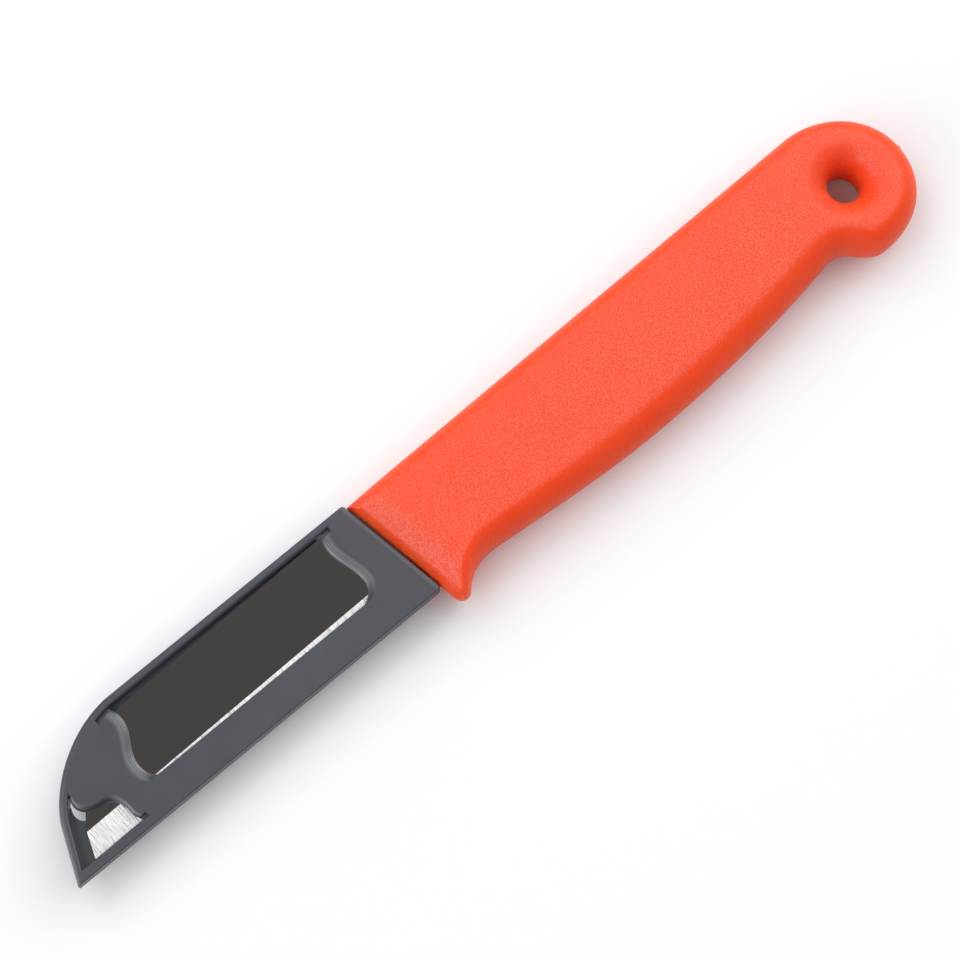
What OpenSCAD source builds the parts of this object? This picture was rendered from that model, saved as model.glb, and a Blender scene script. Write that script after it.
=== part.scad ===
// Floral knife with a slide-on blade guard, lying flat, in millimetres.
// Drawing axes: x runs from the blade point to the pommel, y from the cutting edge to the spine,
// and the drawing origin is on the blade axis at the front of the handle, in the middle plane.

/* [Handle] */
// Length from the front of the handle to the pommel end
handle_l = 106; // [98:0.5:124]
// Thickness over the two flat sides
handle_t = 12; // [10:0.5:16]
// Height of the straight spine above the blade axis
spine_h = 9.4; // [9:0.1:12]
// Slant of the handle front, in degrees
front_angle = 9; // [4:0.5:14]
// Thickness left at the front edge, below the sloping facets
front_t = 6; // [4:0.5:8]
// Length of the sloping facets behind the front
facet_l = 4.5; // [2.5:0.5:7]
// Depth of the finger guard below the blade axis
finger_depth = 13.8; // [13:0.1:17]
// Radius of the finger guard's end
finger_r = 1.95; // [1.6:0.05:2.4]
// Distance of the finger hollow from the front
hollow_x = 11.3; // [10:0.1:16]
// Depth of the finger hollow below the blade axis
hollow_depth = 10.85; // [10:0.05:12]
// Distance of the deepest belly point from the front
belly_x = 46; // [38:1:56]
// Depth of the belly below the blade axis
belly_depth = 13.7; // [12.5:0.1:16]
// Distance of the pommel hook's notch from the pommel end
notch_from_end = 22.8; // [21:0.1:26]
// Depth of the notch below the blade axis
notch_depth = 10.8; // [9.5:0.1:11.5]
// Distance of the beak from the pommel end
beak_from_end = 12.5; // [11:0.1:15]
// Distance from the pommel end to where the spine becomes straight
pommel_run = 13.9; // [12.5:0.1:18]
// Drop of the pommel end below the blade axis
pommel_drop = 3.5; // [2:0.1:5]
// Depth of the beak below the blade axis
beak_depth = 15.15; // [14.5:0.05:18]

/* [Handle edges] */
// Width of the rounding along the front
front_round = 0.9; // [0.5:0.1:1.4]
// Width of the rounding round the finger guard
finger_round = 1.4; // [0.8:0.1:1.5]
// Width of the rounding in the finger hollow
hollow_round = 3.5; // [2:0.1:4.5]
// Width of the rounding along the belly
belly_round = 4.4; // [3:0.1:5.5]
// Width of the rounding in the hook's notch
notch_round = 3.4; // [2:0.1:4.5]
// Width of the rounding at the beak
beak_round = 2.4; // [1.5:0.1:3]
// Width of the rounding round the pommel
pommel_round = 3.4; // [2.5:0.1:4.5]
// Width of the rounding along the spine
spine_round = 3.2; // [2:0.1:4.5]

/* [Hang hole] */
// Diameter of the hang hole's neck
hole_d = 5.6; // [3:0.2:7]
// Length of the straight neck
hole_neck = 3; // [1.5:0.5:5]
// Diameter where the flared mouth meets the flat side
hole_rim_d = 12.4; // [9:0.2:15]
// Distance of the hole from the pommel end
hole_from_end = 11.7; // [10.5:0.1:13]
// Drop of the hole below the blade axis
hole_drop = 3; // [1:0.1:4]

/* [Blade] */
// Length of the blade in front of the handle
blade_l = 66.7; // [55:0.1:80]
// Width of the blade
blade_w = 16; // [14:0.1:17]
// Thickness of the blade
blade_t = 1; // [0.8:0.1:1.6]
// Height of the blade's back above the blade axis
blade_top = 8.4; // [7.4:0.1:8.8]
// Height of the ground bevel
bevel_h = 4.1; // [2:0.1:6]
// Thickness left at the cutting edge
edge_t = 0.1; // [0.05:0.05:0.3]
// Angle of the blade's straight front above the cutting edge, in degrees
point_angle = 68; // [55:1:80]
// Length of that straight front
point_l = 4.3; // [2:0.1:6]
// Distance from the point to where the back becomes straight
point_run = 18.7; // [15:0.1:24]
// Fall of the point's curve as it leaves the straight back
point_drop = 0.4; // [0:0.1:1]

/* [Tang] */
// Length of full-width blade inside the handle
root_l = 3; // [2:0.5:5]
// Length of the tang from the front of the handle to its round end
tang_l = 62; // [54:1:76]
// Width of the tang
tang_w = 10; // [8:0.5:12]
// Diameter of the holes that the moulding fills
tang_hole_d = 5; // [3:0.5:6]
// Distance of the first hole from the front of the handle
tang_hole_x = 18; // [13:1:24]
// Distance between the two holes
tang_hole_pitch = 28; // [15:1:32]
// Gap between the moulding and the steel
mould_gap = 0.05; // [0.02:0.01:0.1]

/* [Guard] */
// Wall round the slot
wall = 1.4; // [1:0.1:2]
// Thickness of the front and back plates
plate_t = 1.1; // [0.8:0.1:1.6]
// Clearance between a plate and the blade's face
face_clear = 0.15; // [0.1:0.05:0.3]
// Clearance between a wall and the blade, on each side
side_clear = 0.64; // [0.4:0.02:0.9]
// Gap left where the loose guard leans against the blade
rest_gap = 0.15; // [0.1:0.05:0.3]
// Gap between the guard and the handle
heel_gap = 0.35; // [0.3:0.05:1]
// Distance from the blade point to the guard's tip
tip_room = 4.5; // [4:0.1:7]
// Angle of the nose above the bottom edge, in degrees
nose_angle = 67; // [60:1:75]
// Length of the nose's straight part
nose_l = 9.3; // [8:0.1:11]
// Distance from the tip to where the spine becomes straight
nose_run = 21.2; // [19:0.1:26]
// Fall of the nose's curve as it leaves the straight spine
nose_drop = 0.7; // [0:0.1:1]
// How much more the open end slants than the handle front, in degrees
heel_extra = 1.1; // [0:0.1:1.5]
// Radius of the two corners at the open end
heel_r = 0.8; // [0.4:0.1:1.2]
// Chamfer round the outer edges
edge_chamfer = 0.35; // [0.2:0.05:0.5]

/* [Guard windows] */
// Width of the band across the open end
heel_band = 6.5; // [5:0.1:9]
// Width of the band along the cutting edge
edge_band = 5.4; // [4.5:0.1:7]
// Distance from the guard's tip to the main window
window_from_tip = 18.8; // [17.5:0.1:22]
// How far the band across the open end swells into the main window
heel_swell = 1.4; // [0.5:0.1:2]
// How far the middle band swells into the main window
middle_swell = 2.5; // [1:0.1:3.5]
// Slope of the main window's edge at the open end, in plan
heel_slope = 1.3; // [0.3:0.1:1.6]
// Slope of the main window's edge at the middle band, in plan
middle_slope = 1.2; // [0.3:0.1:1.4]
// Slope of the tip window's curved edge, in plan
tip_slope = 0.7; // [0.2:0.05:0.8]
// Height of the tip window above the slot's lower wall
tip_window_h = 10; // [9:0.1:11.5]
// Length of the tip window along the lower wall, from the guard's tip
tip_window_l = 14.2; // [13:0.1:16]
// Length of the main window's round corner at the open end
heel_corner = 3.3; // [1.5:0.1:4]
// Length of the main window's round corner at the middle band
middle_corner = 2.1; // [1:0.1:3.5]
// Distance of the swellings below the slot's upper wall
swell_drop = 2.6; // [1.5:0.1:3.5]
// How far the swellings draw back at the slot's upper wall
swell_end = 0.8; // [0.2:0.1:1.2]
// Run of the tip window's curved edge, from the lower wall to its knee
tip_knee_l = 0.9; // [0.4:0.1:1.5]
// Height of that knee above the slot's lower wall
tip_knee_h = 2.4; // [1.8:0.1:3]
// Run of the tip window's curved edge, from the lower wall to its step
tip_step_l = 3.7; // [3:0.1:4.5]
// Height of that step above the slot's lower wall
tip_step_h = 6; // [5:0.1:7]
// Run of the tip window's curved edge, from the lower wall to its crest
tip_crest_l = 7.2; // [6.5:0.1:7.6]
// Height of that crest above the slot's lower wall
tip_crest_h = 8.8; // [8:0.1:8.9]
// Gap in plan between the back plate and the other bands of the front plate
bypass_gap = 0.9; // [0.4:0.1:1.2]
// How far the back plate reaches under the middle band
middle_lap = 1.2; // [0.4:0.1:1.8]
// Width of the slits at the window corners
slit_w = 0.7; // [0.4:0.05:0.8]
// Length of those slits at the main window
slit_l = 1.6; // [1.5:0.1:3]
// Length of those slits at the tip window
tip_slit_l = 2; // [1.4:0.1:3]

/* [Hidden] */
$fn = 64;
// Overrun of cutting shapes past the surface that they cut
over = 1;
half_t = handle_t / 2;
// Steps round a handle edge from one flat side to the other
edge_steps = 14;
// How much of the rounding's crown the flat sides cut off
flat_cut = 0.02;
// Turns sharper than this, as a sine, are mitred corners
corner_sine = 0.5;

// Blade sizes that follow from the driving ones
blade_edge = blade_top - blade_w;
blade_mid = blade_top - blade_w / 2;
bevel_top = blade_edge + bevel_h;
point = [-blade_l, blade_edge];

// Guard sizes, in the guard's own axes, with y = 0 along the middle of its slot
slot_t = blade_t + 2 * face_clear;
guard_t = slot_t + 2 * plate_t;
slot_h = blade_w / 2 + side_clear;
guard_h = slot_h + wall;
guard_tip = [-blade_l - tip_room, -guard_h];
// The loose guard leans until the blade's point and heel stop it
guard_lean = atan(2 * (side_clear - rest_gap) / blade_l);
heel_angle = front_angle + guard_lean + heel_extra;

// Plane geometry
function unit(v) = v / norm(v);
function flat(p) = [p[0], p[1]];
function left(v) = [-v[1], v[0]];
function dir(a) = [cos(a), sin(a)];
function cubic(a, b, c, d, t) =
    let (u = 1 - t)
    u ^ 3 * a + 3 * u ^ 2 * t * b + 3 * u * t ^ 2 * c + t ^ 3 * d;

// Smooth curve from a, leaving at angle ga, to b, arriving at angle gb; ka and kb set its fullness.
// Values after x and y, such as an edge rounding, run evenly from a to b. The end point is left out.
function bend(a, ga, b, gb, n, ka = 0.38, kb = 0.38) =
    let (span = norm(flat(b) - flat(a)), third = (b - a) / 3,
         c = [for (j = [0 : len(a) - 1]) a[j] + (j < 2 ? ka * span * dir(ga)[j] : third[j])],
         d = [for (j = [0 : len(a) - 1]) b[j] - (j < 2 ? kb * span * dir(gb)[j] : third[j])])
    [for (i = [0 : n - 1]) cubic(a, c, d, b, i / n)];

// Arc about c from angle ga to gb, whose third value runs from wa to wb
function arc(c, r, ga, gb, n, wa = 1, wb = 1) =
    [for (i = [0 : n - 1])
        let (p = c + r * dir(ga + (gb - ga) * i / n))
        [p[0], p[1], wa + (wb - wa) * i / n]];

// Vector from corner b to the corner of the outline moved inwards by the third values on each side
function spoke(a, b, c) =
    let (n1 = left(unit(flat(b) - flat(a))), n2 = left(unit(flat(c) - flat(b))),
         turn = n1[0] * n2[1] - n1[1] * n2[0])
    abs(turn) > corner_sine
        ? [a[2] * n2[1] - c[2] * n1[1], c[2] * n1[0] - a[2] * n2[0]] / turn
        : unit(n1 + n2) * b[2];
function spokes(path) =
    let (n = len(path))
    [for (i = [0 : n - 1]) spoke(path[(i + n - 1) % n], path[i], path[(i + 1) % n])];
function inset(path, d) =
    let (s = spokes([for (p = path) [p[0], p[1], 1]]))
    [for (i = [0 : len(path) - 1]) flat(path[i]) + d * s[i]];
function raised(path, z) = [for (p = path) [p[0], p[1], z]];

// Solid through closed rings that have the same number of points, from the lowest up
module loft(rings) {
    n = len(rings[0]);
    last = len(rings) - 1;
    points = [for (r = rings) each r];
    sides = [for (k = [0 : last - 1], i = [0 : n - 1])
        let (a = k * n + i, b = k * n + (i + 1) % n)
        each [[a, a + n, b + n], [a, b + n, b]]];
    bottom = [for (i = [0 : n - 1]) i];
    top = [for (i = [n - 1 : -1 : 0]) last * n + i];
    polyhedron(points, concat(sides, [bottom, top]));
}

// Handle outline, anticlockwise from the front corner at the spine: x, y and edge rounding
front_lean = tan(front_angle);
function front_at(y) = -y * front_lean;
front_top = [front_at(spine_h), spine_h, front_round];
finger_c = [front_at(finger_r - finger_depth) + finger_r / cos(front_angle), finger_r - finger_depth];
finger_start = 180 + front_angle;
finger_end = 318;
finger_out = finger_c + finger_r * dir(finger_end);
hollow = [hollow_x, -hollow_depth, hollow_round];
belly = [belly_x, -belly_depth, belly_round];
notch_rise = 10;
notch = [handle_l - notch_from_end, -notch_depth, notch_round];
// Middle of the beak's straight underside, as shares of the way from the notch to the beak
under_angle = -47;
under_along = 0.54;
under_down = 0.41;
under = [
    handle_l - notch_from_end + under_along * (notch_from_end - beak_from_end),
    -notch_depth - under_down * (beak_depth - notch_depth),
    beak_round];
beak = [handle_l - beak_from_end, -beak_depth, beak_round];
pommel_end = [handle_l, -pommel_drop, pommel_round];
pommel_top = [handle_l - pommel_run, spine_h, spine_round];
handle_path = concat(
    [front_top],
    arc(finger_c, finger_r, finger_start, finger_end, 8, front_round, finger_round),
    bend([finger_out[0], finger_out[1], finger_round], finger_end - 270, hollow, 0, 8, 0.43, 0.33),
    bend(hollow, 0, belly, 0, 10, 0.1, 0.43),
    bend(belly, 0, notch, notch_rise, 9, 0.32, 0.31),
    bend(notch, notch_rise, under, under_angle, 7, 0.41, 0.47),
    bend(under, under_angle, beak, 0, 7, 0.46, 0.37),
    bend(beak, 0, pommel_end, 90, 11, 0.45, 0.4),
    bend(pommel_end, 90, pommel_top, 180, 11, 0.39, 0.38),
    [pommel_top]);
handle_spokes = spokes(handle_path);
function handle_ring(g) =
    [for (i = [0 : len(handle_path) - 1])
        let (p = flat(handle_path[i]) + handle_spokes[i] * (1 - cos(g)))
        [p[0], p[1], (half_t + flat_cut) * sin(g)]];
hole_c = [handle_l - hole_from_end, -hole_drop];

// Rounded nose from the straight spine down to the tip, which a straight part of length l at an angle g
// ends. The curve leaves the spine falling a little, by drop over its first control length.
spine_fullness = 0.43;
front_fullness = 0.5;
function nose(tip, g, l, run, top, n, drop) =
    let (start = [tip[0] + run, top], end = tip + l * dir(g),
         c = start - [spine_fullness * run, drop], d = end + front_fullness * l * dir(g))
    concat([for (i = [0 : n]) cubic(start, c, d, end, i / n)], [tip]);

// Guard outline and slot outline
guard_nose = nose(guard_tip, nose_angle, nose_l, nose_run, guard_h, 16, nose_drop);
function heel_at(y) = -heel_gap - y * tan(heel_angle);
heel_low = [heel_at(heel_r - guard_h) - heel_r / cos(heel_angle), heel_r - guard_h];
heel_high = [heel_at(guard_h - heel_r) - heel_r / cos(heel_angle), guard_h - heel_r];
guard_path = concat(
    [for (p = arc(heel_low, heel_r, 270, 360 + heel_angle, 5)) flat(p)],
    [for (p = arc(heel_high, heel_r, heel_angle, 90, 5)) flat(p)],
    guard_nose);
// The slot runs out past the guard's open end
mouth_x = heel_at(-guard_h) + wall + over;
mouth_line = [[mouth_x, -guard_h], [mouth_x, guard_h]];
slot_path = inset(concat(mouth_line, guard_nose), wall);

// Edges of the windows at the blade, each moved by dx in x; the free ends lie past the slot's walls
window_low = edge_band - guard_h;
heel_x = heel_at(0) - heel_band;
middle_x = guard_tip[0] + window_from_tip;
tip_x = guard_tip[0] + tip_window_l;
// Heights of the bands' narrowest places and of their swellings
waist_y = window_low + heel_corner;
swell_y = slot_h - swell_drop;
// Where the edges meet the slot's upper wall, and at what angle
heel_top = heel_x - heel_swell + swell_end;
middle_top = middle_x + middle_swell - swell_end;
top_angle = 60;
function heel_edge(dx, dy = 0) =
    let (low = [heel_x - heel_corner + dx, window_low + dy],
         waist = [heel_x + dx, waist_y],
         swell = [heel_x - heel_swell + dx, swell_y],
         top = [heel_top + dx, slot_h])
    concat(
        bend(low, 0, waist, 90, 7),
        bend(waist, 90, swell, 90, 7),
        bend(swell, 90, top, top_angle, 5),
        [top, [top[0], guard_h]]);
function middle_edge(dx, dy = 0) =
    let (low = [middle_x + middle_corner + dx, window_low + dy],
         waist = [middle_x + dx, waist_y],
         swell = [middle_x + middle_swell + dx, swell_y],
         top = [middle_top + dx, slot_h])
    concat(
        [[top[0], guard_h]],
        bend(top, -top_angle, swell, -90, 5),
        bend(swell, -90, waist, -90, 7),
        bend(waist, -90, low, 0, 6),
        [low]);
// The tip window's edge rises from the lower wall in an S, over a knee and a step to a crest
tip_low_angle = 120;
tip_step_angle = 177;
tip_top_angle = 75;
tip_crest = [tip_x - tip_crest_l, tip_crest_h - slot_h];
tip_top = [tip_crest[0] + slit_w / 2, tip_window_h - slot_h];
function tip_edge(dx, dy = 0) =
    let (low = [tip_x + dx, -slot_h],
         knee = [tip_x - tip_knee_l + dx, tip_knee_h - slot_h],
         step = [tip_x - tip_step_l + dx, tip_step_h - slot_h + dy],
         crest = tip_crest + [dx, dy],
         top = tip_top + [dx, dy])
    concat(
        [[low[0], -guard_h]],
        bend(low, tip_low_angle, knee, 90, 4),
        bend(knee, 90, step, tip_step_angle, 7, 0.44, 0.38),
        bend(step, tip_step_angle, crest, 90, 7, 0.48, 0.4),
        bend(crest, 90, top, tip_top_angle, 2),
        [top, [guard_tip[0], top[1]]]);
main_window = concat(heel_edge(0), middle_edge(0));
main_mouth = concat(heel_edge(heel_slope), middle_edge(-middle_slope));
tip_outside = [guard_tip - [over, 0], guard_tip - [over, over]];
tip_window = concat(tip_edge(0), tip_outside);
tip_mouth = concat(tip_edge(tip_slope, tip_slope), tip_outside);

// Opening in the back plate: nearly all that lies under the bands of the front plate
function reversed(path) = [for (i = [len(path) - 1 : -1 : 0]) path[i]];
back_path = concat(
    mouth_line,
    reversed(heel_edge(-bypass_gap, bypass_gap)),
    reversed(middle_edge(-middle_lap, bypass_gap)),
    [[guard_tip[0], guard_h]],
    reversed(tip_edge(-bypass_gap, -bypass_gap)));

// Places of the corner slits as boxes: lowest corner and size
slits = [
    [[heel_top - over, 0], [slit_l + over, guard_h]],
    [[middle_top - slit_l - over, 0], [slit_l + 2 * over, guard_h]],
    [[tip_x - over, -guard_h], [tip_slit_l, guard_h]],
    [[guard_tip[0], tip_top[1] - over], [tip_top[0] - guard_tip[0], tip_slit_l]]];

// The part stands on its lower flat side, with the middle of its outline over the origin
function leant(p) =
    let (q = p + [blade_l / 2, 0], c = cos(guard_lean), s = sin(guard_lean))
    [q[0] * c + q[1] * s - blade_l / 2, q[1] * c - q[0] * s + blade_mid];
outline = concat([for (p = handle_path) flat(p)], [for (p = guard_path) leant(p)]);
xs = [for (p = outline) p[0]];
ys = [for (p = outline) p[1]];
centre = [(min(xs) + max(xs)) / 2, (min(ys) + max(ys)) / 2];

module at_rest() {
    translate([-centre[0], -centre[1], half_t]) children();
}

module both_sides() {
    children();
    mirror([0, 0, 1]) children();
}

// Wedge above the facet that slopes from the flat side down to the front edge
module facet_cut() {
    reach = 2 * (spine_h + finger_depth);
    slope = (half_t - front_t / 2) / facet_l;
    ahead = finger_r + over;
    rotate([90, 0, front_angle])
        linear_extrude(reach, center = true)
            polygon([
                [-ahead, front_t / 2 - slope * ahead],
                [facet_l + over / slope, half_t + over],
                [-ahead, half_t + over]]);
}

// Flared mouth of the hang hole: an elliptic curve turned about the hole's axis
module hole_flare() {
    neck_r = hole_d / 2;
    // Part of the quarter ellipse below the flat side, in degrees
    flare_end = 75;
    flare_step = 10;
    flare = (hole_rim_d / 2 - neck_r) / (1 - cos(flare_end));
    depth = (half_t - hole_neck / 2) / sin(flare_end);
    rotate_extrude()
        polygon(concat(
            [for (g = [0 : flare_step : flare_end + flare_step / 2])
                [neck_r + flare * (1 - cos(g)), hole_neck / 2 + depth * sin(g)]],
            [[hole_rim_d / 2, half_t + over], [0, half_t + over], [0, hole_neck / 2]]));
}

// Blade section, grown on all sides, along x from one place to another
module section(from, to, grow = 0) {
    t = blade_t / 2 + grow;
    translate([from, 0, 0])
        rotate([90, 0, 90])
            linear_extrude(to - from)
                polygon([
                    [blade_top + grow, t],
                    [bevel_top, t],
                    [blade_edge - grow, edge_t / 2 + grow],
                    [blade_edge - grow, -edge_t / 2 - grow],
                    [bevel_top, -t],
                    [blade_top + grow, -t]]);
}

// Tang behind the full-width root, grown on all sides
module tang(grow = 0) {
    end = tang_l - tang_w / 2;
    linear_extrude(blade_t + 2 * grow, center = true) {
        translate([0, blade_mid - tang_w / 2 - grow]) square([end, tang_w + 2 * grow]);
        translate([end, blade_mid]) circle(tang_w / 2 + grow);
    }
}

module tang_holes(d) {
    for (x = [tang_hole_x, tang_hole_x + tang_hole_pitch])
        translate([x, blade_mid, 0]) cylinder(h = blade_t + 2 * over, d = d, center = true);
}

// One moulding round the tang: the pins through the tang's holes belong to it
module handle() {
    color("tomato")
        at_rest()
            difference() {
                intersection() {
                    loft([for (k = [0 : edge_steps]) handle_ring(-90 + 180 * k / edge_steps)]);
                    cube([3 * handle_l, 3 * handle_l, handle_t], center = true);
                }
                both_sides() facet_cut();
                translate(hole_c) cylinder(h = hole_neck + over, d = hole_d, center = true);
                translate(hole_c) both_sides() hole_flare();
                section(-2 * finger_r - over, root_l + mould_gap, mould_gap);
                difference() {
                    tang(mould_gap);
                    tang_holes(tang_hole_d - 2 * mould_gap);
                }
            }
}

// One stamping: ground blade, full-width root and drilled tang
module blade() {
    back = nose(point, point_angle, point_l, point_run, blade_top, 14, point_drop);
    color("silver")
        at_rest()
            difference() {
                union() {
                    intersection() {
                        linear_extrude(blade_t + 2 * over, center = true)
                            polygon(concat([[root_l, blade_edge], [root_l, blade_top]], back));
                        section(-blade_l - over, root_l + over);
                    }
                    tang();
                }
                tang_holes(tang_hole_d);
            }
}

// Opening in the front plate: upright at the blade and wider at the face
module window(inner, mouth) {
    high = guard_t / 2 + over;
    rise = (high - slot_t / 2) / plate_t;
    far = [for (i = [0 : len(inner) - 1]) inner[i] + rise * (mouth[i] - inner[i])];
    loft([raised(inner, 0), raised(inner, slot_t / 2), raised(far, high)]);
}

// Narrow slits beside the slot's wall at the ends of the windows
module corner_slits() {
    high = guard_t / 2 + over;
    difference() {
        for (s = slits)
            translate([s[0][0], s[0][1], 0]) cube([s[1][0], s[1][1], high]);
        translate([0, 0, -over]) linear_extrude(high + 2 * over) polygon(inset(slot_path, slit_w));
    }
}

// All that is open inside the guard's walls: the slot, the windows and the openings at the back
module guard_inside() {
    high = guard_t / 2 + over;
    intersection() {
        linear_extrude(2 * high + over, center = true) polygon(slot_path);
        union() {
            linear_extrude(slot_t, center = true)
                translate(guard_tip) square([mouth_x - guard_tip[0], 2 * guard_h]);
            window(main_window, main_mouth);
            window(tip_window, tip_mouth);
            corner_slits();
            translate([0, 0, -high]) linear_extrude(high) polygon(back_path);
        }
    }
}

// One moulding: each window of one plate lies over solid plate on the other side
module blade_guard() {
    face = guard_t / 2;
    rim = inset(guard_path, edge_chamfer);
    color("slategray")
        at_rest()
            translate([-blade_l / 2, blade_mid, 0])
                rotate(-guard_lean)
                    translate([blade_l / 2, 0, 0])
                        difference() {
                            loft([
                                raised(rim, -face),
                                raised(guard_path, edge_chamfer - face),
                                raised(guard_path, face - edge_chamfer),
                                raised(rim, face)]);
                            guard_inside();
                        }
}

handle();
blade();
blade_guard();
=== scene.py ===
"""Looks of a floral knife with its blade guard on: moulded handle, polished blade, windowed guard."""
import math

import bmesh
import bpy
import numpy as np
from mathutils import Matrix, Vector
from mathutils.geometry import delaunay_2d_cdt


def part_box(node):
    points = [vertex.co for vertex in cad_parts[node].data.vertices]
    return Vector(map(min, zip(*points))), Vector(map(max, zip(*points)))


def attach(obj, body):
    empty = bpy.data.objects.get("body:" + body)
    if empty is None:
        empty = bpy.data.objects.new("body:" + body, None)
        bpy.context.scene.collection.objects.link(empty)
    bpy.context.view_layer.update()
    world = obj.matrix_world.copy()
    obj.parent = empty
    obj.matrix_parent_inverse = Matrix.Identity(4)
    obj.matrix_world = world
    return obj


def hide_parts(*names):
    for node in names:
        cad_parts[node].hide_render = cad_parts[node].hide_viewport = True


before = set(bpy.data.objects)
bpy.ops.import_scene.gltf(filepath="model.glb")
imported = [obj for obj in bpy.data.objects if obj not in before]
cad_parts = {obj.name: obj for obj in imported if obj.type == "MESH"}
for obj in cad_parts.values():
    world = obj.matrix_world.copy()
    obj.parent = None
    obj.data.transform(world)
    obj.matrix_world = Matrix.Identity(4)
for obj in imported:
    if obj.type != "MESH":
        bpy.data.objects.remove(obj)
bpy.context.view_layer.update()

# Sizes are millimetres in the drawing's axes: x from the blade point to the pommel, y from the cutting
# edge to the spine, and the origin on the blade axis at the front of the handle, in the middle plane.
MM = 0.001

# Handle
HANDLE_L = 106
HANDLE_T = 12
SPINE_H = 9.4
FRONT_TOP = -1.49
FRONT_ANGLE = 9.3
FRONT_T = 6
FACET_L = 4.5
FINGER_DEPTH = 14.2
FINGER_R = 1.6
FINGER_END = 318
HOLLOW = (11.3, -10.85)
BELLY = (46, -13.6)
NOTCH_FROM_END = 22.8
NOTCH_DEPTH = 10.8
NOTCH_RISE = 10
BEAK_FROM_END = 12.5
BEAK_DEPTH = 15.15
UNDER_ANGLE = -47
UNDER_ALONG = 0.54
UNDER_DOWN = 0.41
POMMEL_RUN = 13.9
POMMEL_DROP = 3.5
FRONT_ROUND = 1.5
FINGER_ROUND = 1.7
HOLLOW_ROUND = 3.5
BELLY_ROUND = 4.8
NOTCH_ROUND = 4.6
BEAK_ROUND = 3.6
POMMEL_ROUND = 4.2
SPINE_ROUND = 3.2
# Pulls of the outline's curves at both ends, as shares of the distance between them
HOLLOW_PULL = (0.43, 0.33)
BELLY_PULL = (0.1, 0.43)
NOTCH_PULL = (0.32, 0.31)
UNDER_PULL = (0.41, 0.47)
BEAK_PULL = (0.46, 0.37)
END_PULL = (0.5, 0.34)
TOP_PULL = (0.39, 0.38)
# Softening of the facets' creases, and spacing of the points that carry it
CREASE_W = 1.5
CREASE_STEP = 0.4
CREASE_ROW = 1.5
CREASE_MARGIN = 0.3
# Length of the spine behind the front whose points lean with the corner's mitre
SPINE_RUN = 6.5
# Depth of the fine line of the mould's halves, and the angles of the rounding that bound it
PARTING = 0.035
PARTING_TURNS = [0.4, 0.8]

# Hang hole
HOLE_D = 5.6
HOLE_NECK = 3
HOLE_RIM_D = 12.4
HOLE_FROM_END = 11.7
HOLE_DROP = 3
# Turns of the flare's curve at the rim and where it leaves the solid
FLARE_RIM = 75
FLARE_END = 84
# Stub left where the moulding was broken from its runner, on the pommel's rounding
STUB = (105.38, -3.87, 2.4)
STUB_R = 0.4

# Blade
BLADE_L = 66.7
BLADE_W = 16
BLADE_T = 1
BLADE_TOP = 8.4
BEVEL_H = 4.1
EDGE_T = 0.1
POINT_ANGLE = 68
POINT_L = 4.3
POINT_RUN = 18.7
POINT_DROP = 0.4
NOSE_PULL = (0.43, 0.5)
ROOT_L = 3
TANG_L = 62
TANG_W = 10
TANG_HOLE_D = 5
TANG_HOLES = (18, 46)
MOULD_GAP = 0.05

# Guard
WALL = 1.4
PLATE_T = 1.1
FACE_CLEAR = 0.15
SIDE_CLEAR = 0.64
REST_GAP = 0.15
HEEL_GAP = 0.06
TIP_ROOM = 4.49
EDGE_EXTRA = 0.3
NOSE_ANGLE = 67
NOSE_L = 9.3
NOSE_RUN = 21.2
NOSE_DROP = 0.7
HEEL_EXTRA = 0.3
HEEL_R = 0.8
RIM_R = 0.55
BOTTOM_RIM = 0.5
NOSE_RIM = 1.45
SEAM_D = 0.1
SEAM_H = 0.24
LIP_R = 0.55
LIP_H = 0.45
TIP_LIP = 0.4
CHAMFER_W = 0.85
CHAMFER_H = 0.15
SLIT_FLOOR = 0.3
HEEL_BAND = 6.88
EDGE_BAND = 5.4
WINDOW_FROM_TIP = 18.8
HEEL_SWELL = 1.4
MIDDLE_SWELL = 2.5
HEEL_SLOPE = 1.3
MIDDLE_SLOPE = 1.2
TIP_SLOPE = 0.7
TIP_WINDOW_H = 10
TIP_WINDOW_L = 14.2
HEEL_CORNER = 3.3
MIDDLE_CORNER = 2.1
SWELL_DROP = 2.6
SWELL_END = 0.8
TIP_KNEE = (0.9, 2.4)
TIP_STEP = (3.7, 6)
TIP_CREST = (7.2, 8.8)
STEP_ANGLE = 177
STEP_PULL = (0.44, 0.38)
CREST_PULL = (0.48, 0.4)
BYPASS_GAP = 0.9
MIDDLE_LAP = 1.2
SLIT_W = 0.7
SLIT_L = 1.6
TIP_SLIT_L = 2

# Sizes that follow
HALF_T = HANDLE_T / 2
OVER = 1
BLADE_EDGE = BLADE_TOP - BLADE_W
BLADE_MID = BLADE_TOP - BLADE_W / 2
BEVEL_TOP = BLADE_EDGE + BEVEL_H
HOLE = (HANDLE_L - HOLE_FROM_END, -HOLE_DROP)
SLOT_T = BLADE_T + 2 * FACE_CLEAR
FACE = SLOT_T / 2 + PLATE_T
SLOT_H = BLADE_W / 2 + SIDE_CLEAR
GUARD_H = SLOT_H + WALL
TIP = np.array([-BLADE_L - TIP_ROOM, -GUARD_H])
LEAN = math.degrees(math.atan(2 * (SIDE_CLEAR - REST_GAP) / BLADE_L))
HEEL_ANGLE = FRONT_ANGLE + LEAN + HEEL_EXTRA
HIGH = FACE + OVER

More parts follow.
